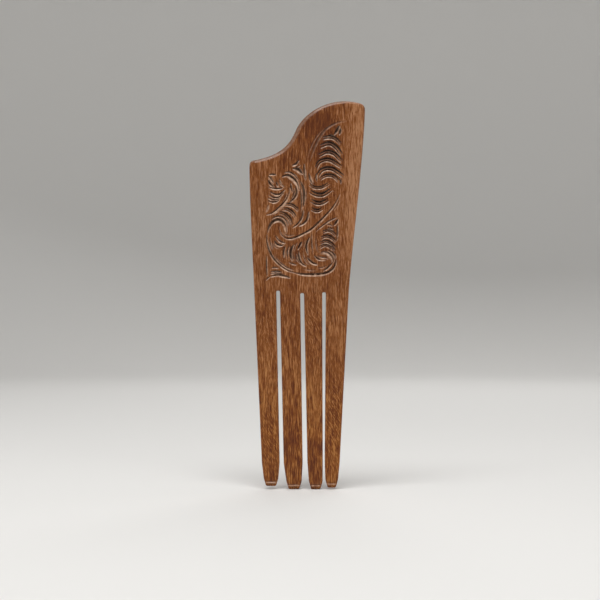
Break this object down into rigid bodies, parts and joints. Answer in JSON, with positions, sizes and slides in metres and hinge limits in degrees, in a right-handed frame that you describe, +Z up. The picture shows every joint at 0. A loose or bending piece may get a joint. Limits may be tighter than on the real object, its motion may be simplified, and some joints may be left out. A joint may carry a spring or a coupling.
{
  "type": "decorative hair comb",
  "caption": "Tall flat wooden hair comb with an S-shaped crest, a carved scroll panel and long tapered teeth parted by narrow slots.",
  "frame": {"origin": "closed end of the middle slot, half way through the board", "axes": "+Z up from the teeth towards the crest, +Y out of the plain back, +X to the right as seen from the carved face, which looks towards -Y"},
  "size_m": [0.0566, 0.005, 0.19],
  "materials": {
    "carved_wood": "satin oiled hardwood, carved",
    "tooth_wood": "satin oiled hardwood"
  },
  "bodies": {
    "root": {"head": "carved_wood", "tooth_1": "tooth_wood", "tooth_2": "tooth_wood", "tooth_3": "tooth_wood", "tooth_4": "tooth_wood"}
  },
  "joints": []
}
